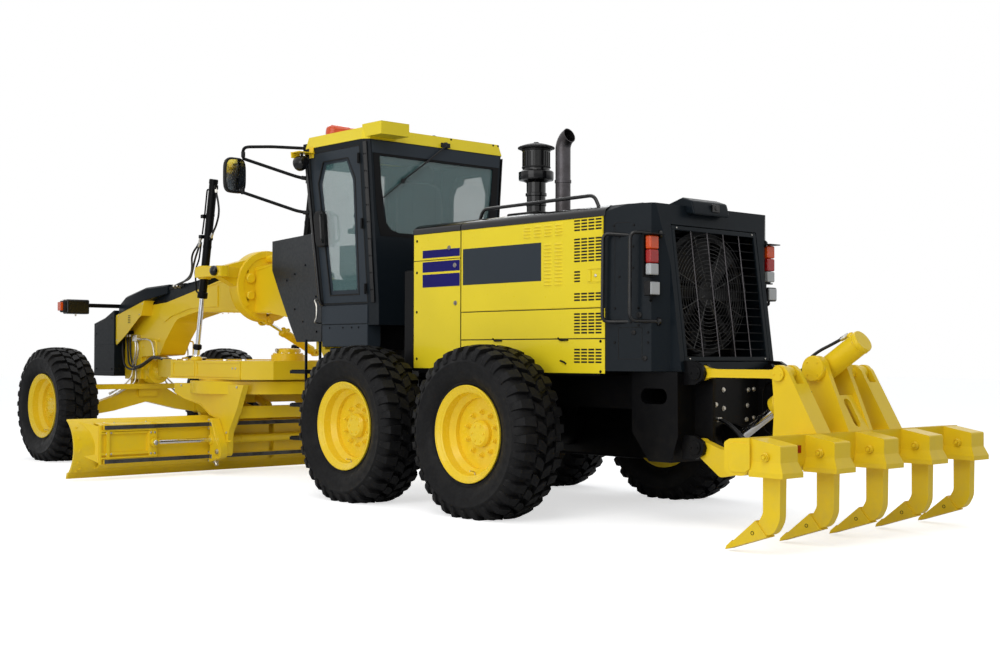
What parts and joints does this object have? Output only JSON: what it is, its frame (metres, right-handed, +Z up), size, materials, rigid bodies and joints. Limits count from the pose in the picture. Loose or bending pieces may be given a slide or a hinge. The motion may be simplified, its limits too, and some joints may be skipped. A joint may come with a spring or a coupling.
{
  "type": "articulated motor grader",
  "caption": "Articulated motor grader with a closed cab, a blade hung under the arched front frame on a circle and drawbar, tandem rear wheels and a rear ripper.",
  "frame": {"origin": "on the ground, at the middle of the overall length and width", "axes": "+X forward along the machine, +Y to its left, +Z up"},
  "size_m": [10.7, 4.268, 3.17],
  "materials": {
    "yellow_body": "semi-gloss lemon yellow",
    "yellow_gear": "semi-gloss yellow on the working gear",
    "yellow_rim": "semi-gloss yellow",
    "charcoal_panels": "satin charcoal",
    "black_frame": "satin black",
    "cast_engine": "rough cast",
    "black_plastic": "matt",
    "exhaust_steel": "heat-dulled",
    "chrome_rod": "polished",
    "wear_steel": "worn",
    "seat_fabric": "woven",
    "window_glass": "tinted green-grey",
    "tyre_rubber": "matt"
  },
  "bodies": {
    "rear_frame": {"rear_frame": "black_frame", "engine": "cast_engine", "radiator": "black_frame", "engine_hood": "yellow_body", "tandem_case_left": "black_frame", "tandem_case_right": "black_frame", "exhaust_stack": "exhaust_steel", "air_precleaner": "black_plastic"},
    "front_frame": {"front_frame": "yellow_gear", "nose_cover": "yellow_body", "lift_saddle": "yellow_gear", "cab_shell": "charcoal_panels", "cab_roof": "yellow_body", "cab_glass": "window_glass", "seat": "seat_fabric", "front_axle": "yellow_gear"},
    "ripper_beam": {"ripper_beam": "yellow_gear", "ripper_shanks": "black_frame"},
    "moldboard": {"moldboard": "yellow_gear", "cutting_edge": "wear_steel"},
    "cab_door_left": {"cab_door_left": "charcoal_panels", "door_glass_left": "window_glass"},
    "rear_wheel_left": {"rear_tyre_left": "tyre_rubber", "rear_rim_left": "yellow_rim"},
    "middle_wheel_left": {"middle_tyre_left": "tyre_rubber", "middle_rim_left": "yellow_rim"},
    "front_wheel_left": {"front_tyre_left": "tyre_rubber", "front_rim_left": "yellow_rim"},
    "cab_door_right": {"cab_door_right": "charcoal_panels", "door_glass_right": "window_glass"},
    "rear_wheel_right": {"rear_tyre_right": "tyre_rubber", "rear_rim_right": "yellow_rim"},
    "middle_wheel_right": {"middle_tyre_right": "tyre_rubber", "middle_rim_right": "yellow_rim"},
    "front_wheel_right": {"front_tyre_right": "tyre_rubber", "front_rim_right": "yellow_rim"},
    "blade_carrier": {"blade_carrier": "yellow_gear"},
    "circle": {"circle": "yellow_gear"},
    "drawbar": {"drawbar": "yellow_gear"},
    "fan": {"fan": "black_plastic"},
    "kingpin_bracket_left": {"kingpin_bracket_left": "yellow_gear"},
    "kingpin_bracket_right": {"kingpin_bracket_right": "yellow_gear"},
    "lean_bar": {"lean_bar": "yellow_gear"},
    "lift_cylinder_left": {"lift_cylinder_left": "black_frame"},
    "lift_cylinder_right": {"lift_cylinder_right": "black_frame"},
    "lift_rod_left": {"lift_rod_left": "chrome_rod"},
    "lift_rod_right": {"lift_rod_right": "chrome_rod"},
    "rear_grille": {"rear_grille": "black_frame"},
    "ripper_arms": {"ripper_arms": "yellow_gear"},
    "ripper_cylinder": {"ripper_cylinder": "yellow_gear"},
    "ripper_links": {"ripper_links": "yellow_gear"},
    "ripper_rod": {"ripper_rod": "chrome_rod"},
    "service_door_left": {"service_door_left": "yellow_body"},
    "service_door_right": {"service_door_right": "yellow_body"},
    "shift_cylinder": {"shift_cylinder": "yellow_gear"},
    "shift_rod": {"shift_rod": "chrome_rod"},
    "steering_knuckle_left": {"steering_knuckle_left": "yellow_gear"},
    "steering_knuckle_right": {"steering_knuckle_right": "yellow_gear"},
    "tie_rod": {"tie_rod": "yellow_gear"},
    "tie_rod_end": {"tie_rod_end": "cast_engine"}
  },
  "joints": [
    {"name": "articulation", "type": "hinge", "parent": "rear_frame", "child": "front_frame", "pos_m": [-1.01, 0, 0.98], "axis": [0, 0, 1], "range_deg": [-25, 25]},
    {"name": "rear_wheel_left_spin", "type": "hinge", "parent": "rear_frame", "child": "rear_wheel_left", "pos_m": [-2.61, 1.0775, 0.615], "axis": [0, 1, 0], "continuous": true},
    {"name": "middle_wheel_left_spin", "type": "hinge", "parent": "rear_frame", "child": "middle_wheel_left", "pos_m": [-1.085, 1.0775, 0.615], "axis": [0, 1, 0], "continuous": true},
    {"name": "front_wheel_left_spin", "type": "hinge", "parent": "steering_knuckle_left", "child": "front_wheel_left", "pos_m": [4.6475, 1.0775, 0.615], "axis": [0, 1, 0], "continuous": true},
    {"name": "rear_wheel_right_spin", "type": "hinge", "parent": "rear_frame", "child": "rear_wheel_right", "pos_m": [-2.61, -1.0775, 0.615], "axis": [0, 1, 0], "continuous": true},
    {"name": "middle_wheel_right_spin", "type": "hinge", "parent": "rear_frame", "child": "middle_wheel_right", "pos_m": [-1.085, -1.0775, 0.615], "axis": [0, 1, 0], "continuous": true},
    {"name": "front_wheel_right_spin", "type": "hinge", "parent": "steering_knuckle_right", "child": "front_wheel_right", "pos_m": [4.6475, -1.0775, 0.615], "axis": [0, 1, 0], "continuous": true},
    {"name": "fan_spin", "type": "hinge", "parent": "rear_frame", "child": "fan", "pos_m": [-3.735, 0, 1.64], "axis": [1, 0, 0], "continuous": true},
    {"name": "service_door_left_hinge", "type": "hinge", "parent": "rear_frame", "child": "service_door_left", "pos_m": [-1.963, 0.742, 1.85], "axis": [0, 0, -1], "range_deg": [0, 90]},
    {"name": "service_door_right_hinge", "type": "hinge", "parent": "rear_frame", "child": "service_door_right", "pos_m": [-1.963, -0.742, 1.85], "axis": [0, 0, 1], "range_deg": [0, 90]},
    {"name": "rear_grille_hinge", "type": "hinge", "parent": "rear_frame", "child": "rear_grille", "pos_m": [-3.94107, -0.472, 1.62595], "axis": [0.131, 0, 0.9914], "range_deg": [0, 105]},
    {"name": "cab_door_left_hinge", "type": "hinge", "parent": "front_frame", "child": "cab_door_left", "pos_m": [-0.647, 0.69202, 1.63057], "axis": [0, 0.0707, 0.9975], "range_deg": [0, 90]},
    {"name": "cab_door_right_hinge", "type": "hinge", "parent": "front_frame", "child": "cab_door_right", "pos_m": [-0.647, -0.69202, 1.63057], "axis": [0, 0.0707, -0.9975], "range_deg": [0, 90]},
    {"name": "wheel_lean_left", "type": "hinge", "parent": "front_frame", "child": "kingpin_bracket_left", "pos_m": [4.6475, 0.69, 0.56], "axis": [1, 0, 0], "range_deg": [-18, 18]},
    {"name": "wheel_lean_right", "type": "hinge", "parent": "front_frame", "child": "kingpin_bracket_right", "pos_m": [4.6475, -0.69, 0.56], "axis": [1, 0, 0], "range_deg": [-18, 18]},
    {"name": "lean_bar_pivot", "type": "hinge", "parent": "kingpin_bracket_left", "child": "lean_bar", "pos_m": [4.5275, 0.69, 0.82], "axis": [1, 0, 0], "range_deg": [-18, 18]},
    {"name": "steer_left", "type": "hinge", "parent": "kingpin_bracket_left", "child": "steering_knuckle_left", "pos_m": [4.6475, 0.83, 0.615], "axis": [0, 0, 1], "range_deg": [-45, 45]},
    {"name": "steer_right", "type": "hinge", "parent": "kingpin_bracket_right", "child": "steering_knuckle_right", "pos_m": [4.6475, -0.83, 0.615], "axis": [0, 0, 1], "range_deg": [-45, 45]},
    {"name": "tie_rod_end_swivel", "type": "hinge", "parent": "steering_knuckle_left", "child": "tie_rod_end", "pos_m": [4.4175, 0.83, 0.398], "axis": [0, 0, 1], "range_deg": [-45, 45]},
    {"name": "tie_rod_tilt", "type": "hinge", "parent": "tie_rod_end", "child": "tie_rod", "pos_m": [4.4175, 0.83, 0.398], "axis": [1, 0, 0], "range_deg": [-18, 18]},
    {"name": "drawbar_lift", "type": "hinge", "parent": "front_frame", "child": "drawbar", "pos_m": [4.33, 0, 0.985], "axis": [0, 1, 0], "range_deg": [-8, 6.5]},
    {"name": "circle_turn", "type": "hinge", "parent": "drawbar", "child": "circle", "pos_m": [2.04, 0, 0.86], "axis": [0, 0, 1], "range_deg": [-45, 45]},
    {"name": "blade_pitch", "type": "hinge", "parent": "circle", "child": "blade_carrier", "pos_m": [1.72, 0, 0.235], "axis": [0, 1, 0], "range_deg": [-5, 40]},
    {"name": "blade_side_shift", "type": "slide", "parent": "blade_carrier", "child": "moldboard", "axis": [0, 1, 0], "range_m": [-0.55, 0.55]},
    {"name": "lift_cylinder_left_swing", "type": "hinge", "parent": "front_frame", "child": "lift_cylinder_left", "pos_m": [2.2484, 0.6, 2.03], "axis": [0, 1, 0], "range_deg": [-6, 6]},
    {"name": "lift_rod_left_slide", "type": "slide", "parent": "lift_cylinder_left", "child": "lift_rod_left", "axis": [0.1779, 0, -0.984], "range_m": [-0.24, 0.3]},
    {"name": "lift_cylinder_right_swing", "type": "hinge", "parent": "front_frame", "child": "lift_cylinder_right", "pos_m": [2.2484, -0.6, 2.03], "axis": [0, 1, 0], "range_deg": [-6, 6]},
    {"name": "lift_rod_right_slide", "type": "slide", "parent": "lift_cylinder_right", "child": "lift_rod_right", "axis": [0.1779, 0, -0.984], "range_m": [-0.24, 0.3]},
    {"name": "shift_rod_swing", "type": "hinge", "parent": "front_frame", "child": "shift_rod", "pos_m": [2.07, -0.02, 1.545], "axis": [1, 0, 0], "range_deg": [-25, 25]},
    {"name": "shift_cylinder_slide", "type": "slide", "parent": "shift_rod", "child": "shift_cylinder", "axis": [0, -0.8827, -0.4698], "range_m": [-0.14, 0.17]},
    {"name": "ripper_lift", "type": "hinge", "parent": "rear_frame", "child": "ripper_arms", "pos_m": [-4.11, 0, 0.56], "axis": [0, -1, 0], "range_deg": [-32, 30]},
    {"name": "ripper_beam_pivot", "type": "hinge", "parent": "ripper_arms", "child": "ripper_beam", "pos_m": [-4.81, 0, 0.56], "axis": [0, -1, 0], "range_deg": [-35, 35]},
    {"name": "ripper_links_pivot", "type": "hinge", "parent": "rear_frame", "child": "ripper_links", "pos_m": [-4.11, 0, 1.07], "axis": [0, -1, 0], "range_deg": [-35, 35]},
    {"name": "ripper_cylinder_swing", "type": "hinge", "parent": "ripper_beam", "child": "ripper_cylinder", "pos_m": [-4.84, 0, 1.105], "axis": [0, -1, 0], "range_deg": [-30, 30]},
    {"name": "ripper_rod_slide", "type": "slide", "parent": "ripper_cylinder", "child": "ripper_rod", "axis": [0.8277, 0, -0.5612], "range_m": [-0.21, 0.22]}
  ],
  "couplings": [
    {"joint": "wheel_lean_right", "follows": "wheel_lean_left", "ratio": 1},
    {"joint": "lean_bar_pivot", "follows": "wheel_lean_left", "ratio": -1},
    {"joint": "steer_right", "follows": "steer_left", "ratio": 1},
    {"joint": "tie_rod_end_swivel", "follows": "steer_left", "ratio": -1},
    {"joint": "tie_rod_tilt", "follows": "wheel_lean_left", "ratio": -0.83133},
    {"joint": "lift_cylinder_left_swing", "follows": "drawbar_lift", "ratio": -0.5661},
    {"joint": "lift_rod_left_slide", "follows": "drawbar_lift", "m_per_rad": -1.8664},
    {"joint": "lift_cylinder_right_swing", "follows": "drawbar_lift", "ratio": -0.5661},
    {"joint": "lift_rod_right_slide", "follows": "drawbar_lift", "m_per_rad": -1.8664},
    {"joint": "shift_rod_swing", "follows": "drawbar_lift", "ratio": -2.6645},
    {"joint": "shift_cylinder_slide", "follows": "drawbar_lift", "m_per_rad": -1.1124},
    {"joint": "ripper_beam_pivot", "follows": "ripper_lift", "ratio": -1},
    {"joint": "ripper_links_pivot", "follows": "ripper_lift", "ratio": 1},
    {"joint": "ripper_cylinder_swing", "follows": "ripper_lift", "ratio": 0.6614},
    {"joint": "ripper_rod_slide", "follows": "ripper_lift", "m_per_rad": -0.3837}
  ]
}
